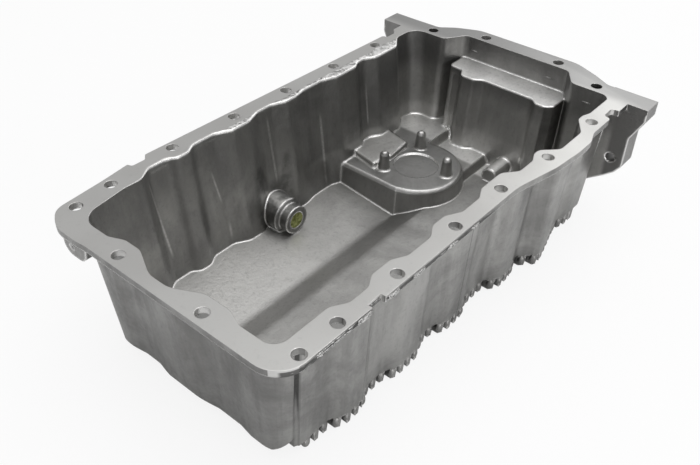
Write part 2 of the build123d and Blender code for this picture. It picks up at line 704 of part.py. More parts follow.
    # Gearbox lugs
    near_lug = (-1, -NEAR_EDGE, near_tip, LUG_FACE)
    far_lug = (1, far_edge(LUG_FACE), far_tip, LUG_FACE - FAR_LUG_SHIFT)
    for side, root, tip, lug_face in (near_lug, far_lug):
        with BuildSketch(cross_section(lug_face - LUG_THICKNESS)):
            with BuildLine():
                rounded(lug_corners(side, root, tip))
            make_face()
            with Locations((tip - side * LUG_HOLE_INSET, -LUG_HOLE_DEPTH)):
                Circle(LUG_HOLE / 2, mode=Mode.SUBTRACT)
        extrude(amount=LUG_THICKNESS)

    # Eye at the front
    with BuildSketch(cross_section(-FRONT_EDGE + 3)):
        with BuildLine():
            FilletPolyline(
                (eye_near[0], -1), (eye_near[1], -EYE_DEPTH), (eye_far, -EYE_DEPTH), (eye_far, -1),
                radius=(0, EYE_ROUNDING, EYE_ROUNDING, 0), close=True,
            )
        make_face()
    extrude(amount=EYE_THICKNESS)
    with BuildSketch(cross_section(-FRONT_EDGE)):
        with Locations((eye_far - EYE_ROUNDING, -EYE_HOLE_DEPTH)):
            Circle(EYE_HOLE / 2)
    extrude(amount=EYE_THICKNESS + 4, mode=Mode.SUBTRACT)

    # Seat for the drain plug on the outside
    with BuildSketch(long_section(drain_seat)):
        with Locations((DRAIN_ALONG, -drain_depth)):
            Circle(DRAIN_SEAT_RADIUS)
    extrude(amount=20)

    add(core.part, mode=Mode.SUBTRACT)

    # Bore for the drain plug
    with BuildSketch(long_section(drain_seat)):
        with Locations((DRAIN_ALONG, -drain_depth)):
            Circle(PLUG_THREAD / 2)
    extrude(amount=drain_seat - drain_tip + 1, mode=Mode.SUBTRACT)

    # Bolt holes
    with BuildSketch(level(0)):
        with Locations(*bolt_places()):
            Circle(BOLT_HOLE / 2)
    extrude(amount=-REAR_RAIL_DEPTH - 1, mode=Mode.SUBTRACT)

oil_pan.part.label = "oil_pan"

with BuildPart() as drain_plug:
    with BuildSketch(long_section(collar_top + PLUG_HEX_HEIGHT)):
        with Locations((DRAIN_ALONG, -drain_depth)):
            RegularPolygon(PLUG_HEX / 2, 6, major_radius=False)
    extrude(amount=PLUG_HEX_HEIGHT)
    with BuildSketch(long_section(collar_top)):
        with Locations((DRAIN_ALONG, -drain_depth)):
            Circle(PLUG_COLLAR / 2)
    extrude(amount=PLUG_COLLAR_HEIGHT)
    with BuildSketch(long_section(head_seat)):
        with Locations((DRAIN_ALONG, -drain_depth)):
            Circle(PLUG_THREAD / 2 - PLUG_PLAY)
    extrude(amount=head_seat - drain_tip)
drain_plug.part.label = "drain_plug"

with BuildPart() as drain_plug_washer:
    with BuildSketch(long_section(head_seat)):
        with Locations((DRAIN_ALONG, -drain_depth)):
            Circle(WASHER_OUTER / 2)
            Circle(PLUG_THREAD / 2 + PLUG_PLAY, mode=Mode.SUBTRACT)
    extrude(amount=WASHER_THICKNESS)
drain_plug_washer.part.label = "drain_plug_washer"

os.makedirs("parts", exist_ok=True)
export_step(oil_pan.part, "parts/oil_pan.step")
export_step(drain_plug.part, "parts/drain_plug.step")
export_step(drain_plug_washer.part, "parts/drain_plug_washer.step")
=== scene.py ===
import bmesh
import bpy
from mathutils import Matrix, Vector, noise


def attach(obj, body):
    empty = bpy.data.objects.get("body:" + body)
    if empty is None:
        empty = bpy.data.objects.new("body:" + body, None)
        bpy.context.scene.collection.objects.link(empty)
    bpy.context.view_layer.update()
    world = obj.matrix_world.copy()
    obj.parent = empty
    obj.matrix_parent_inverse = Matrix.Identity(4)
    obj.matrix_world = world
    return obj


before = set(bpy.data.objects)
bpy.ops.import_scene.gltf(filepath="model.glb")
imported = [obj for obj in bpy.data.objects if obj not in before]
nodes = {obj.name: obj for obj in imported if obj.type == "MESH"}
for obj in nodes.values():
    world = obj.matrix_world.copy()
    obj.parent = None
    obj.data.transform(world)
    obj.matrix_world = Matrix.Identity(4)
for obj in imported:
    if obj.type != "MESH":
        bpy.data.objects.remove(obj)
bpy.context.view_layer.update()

scene = bpy.context.scene

# Camera, fitted to the bolt holes of the flange
CAMERA_PLACE = Vector((-0.39085, -0.29722, 0.41944))
CAMERA_RIGHT = Vector((0.64550, -0.76361, 0.01536))
CAMERA_UP = Vector((0.47000, 0.41300, 0.78008))
CAMERA_LENS = 41.235
CAMERA_CLIP = 0.01
SENSOR_WIDTH = 36.0

# Studio: each lamp's name, place, size and power
FLOOR_SIZE = 6.0
FLOOR_DROP = 0.0002
FLOOR_GREY = 0.86
FLOOR_ROUGHNESS = 0.9
FLOOR_GLOW = 0.86
WORLD_GREY = (0.60, 0.60, 0.605, 1.0)
WHITE = (1.0, 1.0, 1.0, 1.0)
LAMP_AIM = Vector((0.0, 0.0, 0.05))
LAMPS = (
    ("key", (1.45, 0.05, 0.95), (1.1, 1.1), 3.9),
    ("side", (-0.3, -1.5, 0.6), (1.0, 0.6), 4.5),
    ("top", (0.1, -0.1, 1.6), (1.4, 1.4), 10.5),
)

# Masks of the pan's material. A pair is where a mask fades from none to full, or from full to none:
# along the pan (X), across it (Y), in height (Z), or on the normal's share of one of these
SEALING_FACE = 0.110
MACHINED = (SEALING_FACE - 0.0006, SEALING_FACE - 0.0003)
LEVEL_Z = (0.90, 0.99)
GENTLE_Z = (0.70, 0.85)
END_WALLS_X = (0.12, 0.17)
INWARD = (-0.5, -0.2)
BELOW_FLANGE_HEIGHT = (0.100, 0.104)

# Ragged inner margin of the far rail, which the cutter left as cast
MARGIN = 0.0905
MARGIN_RAGGED = 0.010
MARGIN_EDGE = (-0.0006, 0.0006)
MARGIN_Y = (0.070, 0.075)
MARGIN_FRONT_X = (-0.105, -0.085)
MARGIN_REAR_X = (0.135, 0.150)

# Radii of the edges, rounded in shading only
EDGE_RADIUS = 0.0030
FILLET_RADIUS = 0.0048
FILLET_X = (0.030, 0.034)
FILLET_Y = (-0.090, -0.088)
FILLET_FOOT = (0.0165, 0.0170)
FILLET_HEAD = (0.045, 0.050)
PAD = (0.0935, 0.0293)
PAD_RECESS = (0.0235, 0.0240)
RECESS_RADIUS = 0.0010
FLANGE_HEIGHT = (0.104, 0.107)
FLANGE_RADIUS = 0.0007
GUTTER_RADIUS = 0.0100
GUTTER_X = (0.030, 0.045)
GUTTER_NEAR_Y = (-0.016, -0.014)
GUTTER_FAR_Y = (0.030, 0.034)
GUTTER_HEIGHT = (0.0160, 0.0165)
LIP_RADIUS = 0.0042
LIP_HEIGHT = (0.1045, 0.1060)
LIP_NEAR_Y = (0.075, 0.078)
LIP_FAR_Y = (0.0990, 0.0996)
LIP_FRONT_X = (-0.155, -0.120)
LIP_REAR_X = (0.135, 0.150)
ROUNDED = (0.80, 0.97)
POLISH_HIGHLIGHT_TURN = (0.90, 0.985)

# Zones of the skin with painted light and shade of their own
FRONT_FACING = (-0.9, -0.5)
REAR_WALL_X = (0.09, 0.15)
SHELF_X = (0.10, 0.14)
SHELF_HEIGHT = (0.070, 0.090)
FAR_FRONT_X = (-0.12, 0.02)
RAISED_X = (-0.06, 0.06)
PAD_HEIGHT = (0.024, 0.028)
PAD_END_X = (0.13, 0.14)
PLATFORM_HEIGHT = (0.0335, 0.0345)
REAR_FLOOR_X = (0.133, 0.138)
FAR_FLOOR_X = (-0.10, 0.05)
FAR_FLOOR_Y = (-0.010, 0.010)
LOW_HEIGHT = (0.040, 0.046)
LOW_X = (0.0, 0.02)
LOW_Y = (-0.09, -0.08)
DRAIN = -0.0245
DRAIN_HALF = 0.0240
DRAIN_NEAR_Y = (0.040, 0.045)
DRAIN_FAR_Y = (0.0880, 0.0895)
DRAIN_FOOT = (0.0175, 0.0185)
DRAIN_HEAD = (0.065, 0.070)
LUG_X = (0.155, 0.165)
LUG_Y = (-0.106, -0.102)

# Walls of the bolt holes, painted light: all that is upright within the flange's outline, which tapers at the far
# edge
HOLES_Y = (0.0970, 0.0975)
HOLES_X = (0.1945, 0.1950)
ENDS_X = (0.2059, 0.2060)
FAR_EDGE = (0.1081, 0.1082)
FAR_TAPER = 0.019
SWELL_X = (0.02, 0.04)
SWELL_OUTER = (-0.1028, -0.1072)
SWELL_INNER = (-0.1027, -0.1071)
REAR_RAIL_X = (0.175, 0.176)
RAIL_UNDERSIDES = (0.1045, 0.0840)

# Outer near wall: painted shadow under the flange, painted shade in a groove, and the fine seams of the die
SHADOW_FOOT = (0.1030, 0.1048)
SHADOW_HEAD = (0.1082, 0.1090)
SHADOW_X = (-0.020, 0.000)
SHADOW_Y = (-0.098, -0.096)
SHADOW_FACING = (-0.4, -0.2)
GROOVE = -0.1795
GROOVE_HALF = 0.0026
GROOVE_SIDES = 0.0065
SEAMS = (-0.1235, -0.0165)
SEAM_HALF = 0.0006
OUTER_NEAR_Y = (-0.085, -0.084)
OUTER_NEAR_HEIGHT = (0.1045, 0.105)

# Painted highlights along the ridges of the far wall: place along at the top, lean, bottom, top and half width
RIDGES = (
    (-0.1345, 0.10, 0.030, 0.105, 0.0016), (-0.0830, 0.16, 0.050, 0.085, 0.0013),
    (-0.0712, 0.0, 0.014, 0.036, 0.0018), (-0.0190, 0.03, 0.040, 0.105, 0.0018),
    (0.0368, 0.0, 0.012, 0.085, 0.0022), (0.0950, 0.0, 0.045, 0.090, 0.0012),
)
RIDGE_TOP = 0.105
RIDGE_FADE = 0.012
RIDGE_Y = (0.070, 0.075)

# Sealing face, with painted shade at the gearbox end
FACE_SHADE_X = (0.165, 0.180)
FACE_SHADE_CORNER = (0.195, 0.215)
FACE_SHADE_SLANT = -0.3

# Tones, from dark to light
CAST = ((0.24, 0.238, 0.232), (0.44, 0.437, 0.425))
# Painted shade outside where the walls face the front; painted shade and light on the inner walls: darker than the
# outside, lighter at the rear and the front, darker above the shelf
CAST_FRONT = ((0.20, 0.198, 0.193), (0.31, 0.308, 0.30))
WALL = ((0.20, 0.198, 0.192), (0.34, 0.337, 0.325))
WALL_REAR = ((0.36, 0.357, 0.345), (0.50, 0.495, 0.48))
WALL_ABOVE_SHELF = ((0.20, 0.198, 0.193), (0.30, 0.298, 0.29))
WALL_FRONT = ((0.32, 0.317, 0.31), (0.50, 0.496, 0.48))
# Painted light on what lies level, lighter than the walls; painted shade towards the rear and on the pad; painted
# light on the platform, the rear floor and the far floor
GROUND = ((0.36, 0.356, 0.345), (0.48, 0.475, 0.46))
RAISED = ((0.25, 0.248, 0.24), (0.36, 0.358, 0.35))
PLATFORM = ((0.48, 0.475, 0.46), (0.66, 0.655, 0.64))
REAR_FLOOR = ((0.72, 0.715, 0.70), (0.92, 0.915, 0.90))
FAR_FLOOR = (0.60, 0.595, 0.58)
# Painted light on the low walls in the rear half, such as the pad's sides
LOW_WALL = (0.55, 0.545, 0.53)
# Painted shade on the drain boss
BOSS = (0.15, 0.149, 0.145)
# Painted shade on the lug at the gearbox end
LUG = (0.20, 0.198, 0.193)
GRAIN = (0.17, 0.17, 0.165)
SPECKLE = (0.19, 0.19, 0.185)
# As-cast margin of the far rail, with painted highlights and shade flowing along it
LIP_SKIN_AND_HIGHLIGHTS = ((0.20, 0.198, 0.19), (0.86, 0.855, 0.84))
# Painted light on the walls of the bolt holes
HOLE_WALL_LIGHT = (0.74, 0.735, 0.72)
# Painted shadow under the flange's near edge and painted shade in the groove
FLANGE_SHADOW = (0.045, 0.045, 0.043)
GROOVE_SHADE = (0.04, 0.04, 0.038)
SEAM_DIRT = (0.10, 0.10, 0.097)
# Painted highlight on the edges and on the far wall's ridges
HIGHLIGHT_SKIN = (0.88, 0.875, 0.86)
MILLED = ((0.52, 0.515, 0.50), (0.60, 0.597, 0.58))
# Painted shade on the sealing face at the gearbox end
MILLED_SHADE = (0.30, 0.299, 0.295)
MILLED_MARKS = (0.38, 0.38, 0.37)
ZINC = ((0.17, 0.19, 0.05), (0.52, 0.55, 0.22))
WASHER = ((0.50, 0.50, 0.49), (0.68, 0.68, 0.67))
# Fresh fracture, its crystals ranging down to painted shade
FRACTURE = ((0.12, 0.119, 0.115), (0.88, 0.875, 0.86))

# What is left along the flange's near edge of the casting's gates (start and end along the pan) and
# of its flash (start, end, height and reach)
NEAR_EDGE = -0.1034
GATE_SCARS = ((-0.1475, -0.1365), (-0.1205, -0.1115), (-0.0975, -0.0865), (-0.0625, -0.0515), (-0.0375, -0.0285))
SCAR_HEIGHT = 0.1068
SCAR_HALF_DEPTH = 0.0009
SCAR_HALF_HEIGHT = 0.0017
SCAR_ROUGHNESS = 0.28
FLASH = (
    (-0.1830, -0.1490, 0.1084, 0.0011),
    (-0.1820, -0.1500, 0.1066, 0.0014),
    (-0.1110, -0.0990, 0.1072, 0.0008),
    (-0.0860, -0.0640, 0.1068, 0.0005),
    (-0.0510, -0.0385, 0.1066, 0.0006),
    (-0.0280, -0.0120, 0.1064, 0.0006),
)
FLASH_STEP = 0.0006
FLASH_ROOT = 0.0004
FLASH_HALF = 0.0007
FLASH_THIN_HALF = 0.0004
FLASH_WANDER = 0.0005

# Ejector marks at the gearbox end, and the near ends of the fins
EJECTOR_MARKS = ((0.1908, 0.0418, 0.0980), (0.1908, -0.0322, 0.0980), (0.1733, -0.0772, 0.0980))
EJECTOR_HALVES = (0.0006, 0.0040, 0.0006)
EJECTOR_ROUGHNESS = 0.12
FINS = 40
FIRST_FIN = -0.1690
FIN_PITCH = 0.008
FIN_HALF = 0.0024
FIN_FOOT = 0.003
FIN_END_HALVES = (0.0031, 0.0030, 0.0050)
FIN_END_INSET = 0.0022
FIN_END_HEIGHT = 0.0052
FIN_END_ROUGHNESS = 0.05
FINE = 4
COARSE = 3


class Nodes:
    """A short way to write a material's nodes."""

    def __init__(self, name):
        self.material = bpy.data.materials.new(name)
        self.material.use_nodes = True
        self.tree = self.material.node_tree
        self.shader = self.tree.nodes["Principled BSDF"]
        self.place = self.add("ShaderNodeTexCoord").outputs["Object"]

    def add(self, kind, **settings):
        node = self.tree.nodes.new(kind)
        for key, value in settings.items():
            setattr(node, key, value)
        return node

    def link(self, output, socket):
        self.tree.links.new(output, socket)

    def feed(self, socket, value):
        """Links an output to this socket, or sets its value."""
        if isinstance(value, bpy.types.NodeSocket):
            self.link(value, socket)
        else:
            socket.default_value = value

    def math(self, operation, a, b=0.0):
        node = self.add("ShaderNodeMath", operation=operation)
        self.feed(node.inputs[0], a)
        self.feed(node.inputs[1], b)
        return node.outputs[0]

    def times(self, product, *factors):
        """All of these multiplied."""
        for factor in factors:
            product = self.math("MULTIPLY", product, factor)
        return product

    def size(self, value):
        return self.math("ABSOLUTE", value)

    def rest(self, share):
        """What this share leaves of one."""
        return self.math("SUBTRACT", 1.0, share)

    def band(self, value, low, high, to_low=0.0, to_high=1.0):
        """Fades from one number to another while the value goes from low to high."""
        node = self.add("ShaderNodeMapRange", interpolation_type="SMOOTHSTEP")
        self.feed(node.inputs["Value"], value)
        self.feed(node.inputs["From Min"], low)
        self.feed(node.inputs["From Max"], high)
        node.inputs["To Min"].default_value = to_low
        node.inputs["To Max"].default_value = to_high
        return node.outputs["Result"]

    def below(self, value, low, high):
        """Full under low, none over high."""
        return self.band(value, low, high, 1.0, 0.0)

    def stripe(self, value, middle, half, inside=1.0, outside=0.0):
        away = self.size(self.math("SUBTRACT", value, middle))
        return self.band(away, half * 0.7, half, inside, outside)

    def stretch(self, scale):
        node = self.add("ShaderNodeMapping")
        self.link(self.place, node.inputs["Vector"])
        node.inputs["Scale"].default_value = scale
        return node.outputs["Vector"]

    def noise(self, scale, detail=4.0, roughness=0.55, distortion=0.0, place=None):
        node = self.add("ShaderNodeTexNoise")
        self.link(place or self.place, node.inputs["Vector"])
        node.inputs["Scale"].default_value = scale
        node.inputs["Detail"].default_value = detail
        node.inputs["Roughness"].default_value = roughness
        node.inputs["Distortion"].default_value = distortion
        return node.outputs["Fac"]

    def normal(self):
        """The face's own normal, without any shading."""
        return self.add("ShaderNodeNewGeometry").outputs["True Normal"]

    def split(self, vector):
        node = self.add("ShaderNodeSeparateXYZ")
        self.link(vector, node.inputs[0])
        return node.outputs["X"], node.outputs["Y"], node.outputs["Z"]

    def mix(self, factor, a, b):
        node = self.add("ShaderNodeMix", data_type="RGBA")
        self.feed(node.inputs[0], factor)
        for socket, value in ((node.inputs[6], a), (node.inputs[7], b)):
            self.feed(socket, (*value, 1.0) if isinstance(value, tuple) else value)
        return node.outputs[2]

    def mix_number(self, factor, a, b):
        node = self.add("ShaderNodeMix", data_type="FLOAT")
        self.feed(node.inputs[0], factor)
        self.feed(node.inputs[2], a)
        self.feed(node.inputs[3], b)
        return node.outputs[0]

    def bump(self, height, strength, distance, normal=None):
        node = self.add("ShaderNodeBump")
        self.feed(node.inputs["Height"], height)
        self.feed(node.inputs["Strength"], strength)
        node.inputs["Distance"].default_value = distance
        if normal is not None:
            self.link(normal, node.inputs["Normal"])
        return node.outputs["Normal"]

    def metal(self, colour, roughness, normal):
        """Makes the material a metal with these and returns it."""
        self.link(colour, self.shader.inputs["Base Color"])
        self.shader.inputs["Metallic"].default_value = 1.0
        self.link(roughness, self.shader.inputs["Roughness"])
        self.link(normal, self.shader.inputs["Normal"])
        return self.material


def cast_margin(n, x, y):
    """The ragged inner margin of the far rail."""
    ragged = n.math("MULTIPLY", n.noise(55.0, 4.0, 0.7), MARGIN_RAGGED)
    reach = n.math("SUBTRACT", n.math("SUBTRACT", y, ragged), MARGIN)
    return n.times(n.below(reach, *MARGIN_EDGE), n.band(y, *MARGIN_Y),
                   n.band(x, *MARGIN_FRONT_X), n.below(x, *MARGIN_REAR_X))


def edge_radius(n, x, y, height, level):
    """How far edges are rounded, with the masks of the gutter and of the far rail's lip."""
    fillet = n.times(n.band(x, *FILLET_X), n.band(height, *FILLET_FOOT), n.below(height, *FILLET_HEAD),
                     n.band(y, *FILLET_Y))
    radius = n.mix_number(fillet, EDGE_RADIUS, FILLET_RADIUS)

    squares = [n.math("POWER", n.math("SUBTRACT", place, middle), 2.0) for place, middle in zip((x, y), PAD)]
    from_pad = n.math("SQRT", n.math("ADD", *squares))
    radius = n.mix_number(n.times(n.below(from_pad, *PAD_RECESS), level), radius, RECESS_RADIUS)
    radius = n.mix_number(n.band(height, *FLANGE_HEIGHT), radius, FLANGE_RADIUS)

    gutter = n.times(n.below(height, *GUTTER_HEIGHT), n.below(x, *GUTTER_X),
                     n.band(y, *GUTTER_NEAR_Y), n.below(y, *GUTTER_FAR_Y))
    lip = n.times(n.band(height, *LIP_HEIGHT), n.band(y, *LIP_NEAR_Y), n.below(y, *LIP_FAR_Y),
                  n.band(x, *LIP_FRONT_X), n.below(x, *LIP_REAR_X))
    return n.mix_number(lip, n.mix_number(gutter, radius, GUTTER_RADIUS), LIP_RADIUS), gutter, lip


def wall_tones(n, x, height, facing_x, tone, inner_wall):
    """Tones of the walls, outside and inside: random tone, with painted shade outside where the walls face the front,
    and painted shade and light on the inner walls.
    """
    def shade(tones, high=0.66):
        return n.mix(n.band(tone, 0.36, high), *tones)

    # Painted shade outside on the faces towards the front, painted shade and light on the inner walls
    outside = n.mix(n.band(facing_x, *FRONT_FACING, 0.75, 0.0), shade(CAST, 0.64), shade(CAST_FRONT, 0.64))
    inside = n.mix(n.band(x, *REAR_WALL_X), shade(WALL), shade(WALL_REAR))
    inside = n.mix(n.times(n.band(x, *SHELF_X), n.band(height, *SHELF_HEIGHT)), inside, shade(WALL_ABOVE_SHELF))
    inside = n.mix(n.band(x, *FAR_FRONT_X, 0.8, 0.0), inside, shade(WALL_FRONT))
    return n.mix(inner_wall, outside, inside)


def ground_tones(n, x, y, height, clouds):
    """Tones of the floor, the pad and what else lies level in the pan: painted light, lighter than the walls, with
    painted shade towards the rear and on the pad, and painted light on the platform, the rear floor and the far
    floor.
    """
    def shade(tones):
        return n.mix(n.band(clouds, 0.35, 0.65), *tones)

    # Painted shade towards the rear and on the pad, painted light on the platform, the rear floor and the far floor
    raised = shade(RAISED)
    ground = n.mix(n.band(x, *RAISED_X, 0.0, 0.55), shade(GROUND), raised)
    ground = n.mix(n.times(n.band(height, *PAD_HEIGHT), n.below(x, *PAD_END_X)), ground, raised)
    ground = n.mix(n.band(height, *PLATFORM_HEIGHT), ground, shade(PLATFORM))
    ground = n.mix(n.band(x, *REAR_FLOOR_X), ground, shade(REAR_FLOOR))
    return n.mix(n.times(n.band(x, *FAR_FLOOR_X, 0.7, 0.0), n.band(y, *FAR_FLOOR_Y)), ground, FAR_FLOOR)


def hole_walls(n, x, y, height, level):
    """The walls of the bolt holes, where light is painted, told from the flange's outer sides by where they stand."""
    edge = [n.band(x, *SWELL_X, *ends) for ends in (SWELL_OUTER, SWELL_INNER)]
    from_far = n.math("ADD", y, n.math("MULTIPLY", x, FAR_TAPER))
    underside = n.band(x, *REAR_RAIL_X, *RAIL_UNDERSIDES)
    return n.times(n.math("MAXIMUM", n.band(n.size(y), *HOLES_Y), n.band(n.size(x), *HOLES_X)),
                   n.band(y, *edge), n.below(from_far, *FAR_EDGE), n.below(n.size(x), *ENDS_X),
                   n.math("GREATER_THAN", height, underside), n.rest(level))


def far_wall_ridges(n, polish_and_highlight, x, y, height, speckle, inner_wall):
    """Adds painted highlights along the ridges of the far wall to the mask of polish and painted highlight."""
    for start, lean, low, high, half in RIDGES:
        middle = n.math("ADD", start, n.math("MULTIPLY", n.math("SUBTRACT", RIDGE_TOP, height), lean))
        streak = n.times(n.band(n.size(n.math("SUBTRACT", x, middle)), 0.0, half, 0.8, 0.0),
                         n.band(height, low, low + RIDGE_FADE), n.below(height, high - RIDGE_FADE, high),
                         n.band(y, *RIDGE_Y), n.band(speckle, 0.30, 0.55, 0.4, 1.0), inner_wall)
        polish_and_highlight = n.math("MAXIMUM", polish_and_highlight, streak)
    return polish_and_highlight


def cast_aluminium(name, shine):
    """Die-cast skin, cloudy and streaked by its die, with painted light, shade and highlights in its colour, and a
    machined sealing face.
    """
    n = Nodes(name)
    x, y, height = n.split(n.place)
    facing_x, facing_y, facing_z = n.split(n.normal())

    level = n.band(facing_z, *LEVEL_Z)
    face = n.times(n.band(height, *MACHINED), level)
    radius, gutter, lip = edge_radius(n, x, y, height, level)
    edges = n.add("ShaderNodeBevel", samples=8)
    n.link(radius, edges.inputs["Radius"])
    turn = n.add("ShaderNodeVectorMath", operation="DOT_PRODUCT")
    n.link(edges.outputs[0], turn.inputs[0])
    n.link(n.normal(), turn.inputs[1])
    rounded = n.times(lip, n.below(turn.outputs["Value"], *ROUNDED))
    rough_lip = n.math("MAXIMUM", n.times(cast_margin(n, x, y), face), n.times(rounded, face))
    machined = n.math("SUBTRACT", face, rough_lip)

    # Faces that look towards the middle of the pan are its inside
    towards_ends = n.times(n.band(n.size(x), *END_WALLS_X), n.times(n.math("SIGN", x), facing_x))
    outward = n.math("ADD", n.times(n.math("SIGN", y), facing_y), towards_ends)
    inner_wall = n.below(outward, *INWARD)
    floor = n.times(n.band(facing_z, *GENTLE_Z), n.below(height, *BELOW_FLANGE_HEIGHT))

    # Tones of the die-cast skin, with painted light and shade
    clouds = n.noise(17.0, 6.0, 0.62, 0.6)
    streaks = n.noise(1.0, 5.0, 0.6, 0.3, n.stretch((70.0, 70.0, 6.0)))
    grain = n.noise(1.0, 4.0, 0.65, 0.0, n.stretch((260.0, 260.0, 90.0)))
    speckle = n.noise(420.0, 3.0, 0.6)
    tone = n.math("ADD", n.math("MULTIPLY", clouds, 0.68), n.math("MULTIPLY", streaks, 0.32))
    walls = wall_tones(n, x, height, facing_x, tone, inner_wall)
    skin = n.mix(floor, walls, ground_tones(n, x, y, height, clouds))

    # Painted light on the low walls in the rear half of the pan
    low = n.times(n.below(height, *LOW_HEIGHT), n.band(x, *LOW_X), n.band(y, *LOW_Y), n.rest(floor))
    skin = n.mix(n.times(low, 0.45), skin, LOW_WALL)
    # Painted shade on the drain boss, blotched by noise
    boss = n.times(n.stripe(x, DRAIN, DRAIN_HALF), n.band(y, *DRAIN_NEAR_Y), n.below(y, *DRAIN_FAR_Y),
                   n.band(height, *DRAIN_FOOT), n.below(height, *DRAIN_HEAD))
    skin = n.mix(n.times(boss, n.band(n.noise(95.0, 3.0, 0.6), 0.4, 0.6, 0.25, 0.75)), skin, BOSS)
    # Painted shade on the lug at the gearbox end
    lug = n.times(n.band(x, *LUG_X), n.below(y, *LUG_Y))
    skin = n.mix(n.times(lug, 0.95), skin, LUG)
    skin = n.mix(n.band(grain, 0.52, 0.72, 0.0, 0.22), skin, GRAIN)
    skin = n.mix(n.band(speckle, 0.55, 0.75, 0.0, 0.25), skin, SPECKLE)
    # As-cast margin of the far rail: painted highlights and shade in waves along it
    lip_tone_and_highlights = n.mix(n.band(n.noise(150.0, 5.0, 0.65, 1.4), 0.36, 0.56), *LIP_SKIN_AND_HIGHLIGHTS)
    skin = n.mix(rough_lip, skin, lip_tone_and_highlights)
    # Painted light on the walls of the bolt holes
    hole_light = hole_walls(n, x, y, height, level)
    skin = n.mix(n.times(hole_light, 0.8), skin, HOLE_WALL_LIGHT)

    # Painted shadow under the flange, painted shade in the groove, and the seams, on the outer near wall
    shadow_rags = n.noise(1.0, 4.0, 0.7, 0.5, n.stretch((150.0, 150.0, 420.0)))
    shadow_band = n.times(n.band(height, *SHADOW_FOOT), n.below(height, *SHADOW_HEAD), n.below(y, *SHADOW_Y),
                   n.below(x, *SHADOW_X), n.below(facing_y, *SHADOW_FACING), n.band(shadow_rags, 0.40, 0.47))
    skin = n.mix(n.times(shadow_band, 0.85), skin, FLANGE_SHADOW)
    outer_near = n.times(n.below(y, *OUTER_NEAR_Y), n.below(height, *OUTER_NEAR_HEIGHT))
    # Painted shade in the groove
    groove = n.times(n.stripe(x, GROOVE, GROOVE_HALF), outer_near)
    skin = n.mix(n.times(groove, 0.85), skin, GROOVE_SHADE)
    seams = n.math("MAXIMUM", *(n.stripe(x, seam, SEAM_HALF) for seam in SEAMS))
    skin = n.mix(n.times(seams, outer_near, 0.6), skin, SEAM_DIRT)

    # Polish on the edges from the metal as it flowed and from handling, with painted highlights on these edges and on
    # the far wall's ridges
    polish_and_highlight = n.times(n.below(turn.outputs["Value"], *POLISH_HIGHLIGHT_TURN), n.rest(n.math("MAXIMUM", gutter, hole_light)))
    polish_and_highlight = far_wall_ridges(n, polish_and_highlight, x, y, height, speckle, inner_wall)
    polish_and_highlight = n.times(polish_and_highlight, n.stripe(x, GROOVE, GROOVE_SIDES, 0.0, 1.0), shine)
    skin = n.mix(n.times(polish_and_highlight, 0.75), skin, HIGHLIGHT_SKIN)

    # Sealing face, with painted shade at the gearbox end
    sheen = n.noise(9.0, 3.0, 0.5)
    milled = n.mix(n.band(sheen, 0.35, 0.65), *MILLED)
    slanted = n.math("ADD", x, n.math("MULTIPLY", y, FACE_SHADE_SLANT))
    face_shade = n.math("MAXIMUM", n.band(x, *FACE_SHADE_X, 0.0, 0.75), n.band(slanted, *FACE_SHADE_CORNER, 0.0, 0.9))
    milled = n.mix(face_shade, milled, MILLED_SHADE)
    milled = n.mix(n.band(n.noise(260.0, 4.0, 0.7), 0.55, 0.8, 0.0, 0.25), milled, MILLED_MARKS)

    rough = n.math("ADD", n.band(tone, 0.3, 0.7, 0.46, 0.36), n.band(speckle, 0.3, 0.8, -0.03, 0.06))
    rough = n.mix_number(floor, rough, 0.50)
    rough = n.mix_number(polish_and_highlight, rough, 0.24)
    rough = n.mix_number(machined, rough, n.band(sheen, 0.3, 0.7, 0.42, 0.36))

    dents = n.math("ADD", n.math("MULTIPLY", n.noise(150.0, 4.0, 0.6), 0.6), n.math("MULTIPLY", speckle, 0.4))
    depth = n.mix_number(machined, n.mix_number(rough_lip, 0.45, 1.0), 0.06)
    return n.metal(n.mix(machined, skin, milled), rough, n.bump(dents, depth, 0.0009, edges.outputs[0]))


def zinc_plate():
    """Yellow-green passivated steel."""
    n = Nodes("zinc_plated_steel")
    blotches = n.noise(320.0, 5.0, 0.65, 0.8)
    return n.metal(n.mix(n.band(blotches, 0.4, 0.62), *ZINC), n.band(blotches, 0.3, 0.7, 0.48, 0.28),
                   n.bump(n.noise(900.0, 3.0), 0.3, 0.0004))


def washer_metal():
    """Soft aluminium sealing ring."""
    n = Nodes("washer_aluminium")
    brushed = n.noise(1.0, 4.0, 0.6, 0.0, n.stretch((60.0, 900.0, 60.0)))
    return n.metal(n.mix(brushed, *WASHER), n.band(brushed, 0.3, 0.7, 0.30, 0.42), n.bump(brushed, 0.2, 0.0003))


def broken_metal():
    """Fresh, bright fracture where gates and flash were knocked off, its crystals ranging down to painted shade."""
    n = Nodes("broken_aluminium")
    crystals = n.noise(1100.0, 4.0, 0.7, 0.4)
    return n.metal(n.mix(n.band(crystals, 0.35, 0.65), *FRACTURE), n.band(crystals, 0.3, 0.7, 0.45, 0.25),
                   n.bump(crystals, 0.8, 0.0006))


def lump(middle, halves, roughness, seed, detail):
    """A ragged ellipsoid, half of it meant to be sunk in the casting."""
    form = bmesh.new()
    bmesh.ops.create_icosphere(form, subdivisions=detail, radius=1.0)
    for corner in form.verts:
        place = Vector([corner.co[axis] * halves[axis] for axis in range(3)])
        ragged = noise.noise(corner.co * 2.3 + Vector((seed, 0.0, 0.0)))
        ragged += 0.5 * noise.noise(corner.co * 6.0 + Vector((0.0, seed, 0.0)))
        corner.co = Vector(middle) + place * (1.0 + roughness * ragged)
    return form


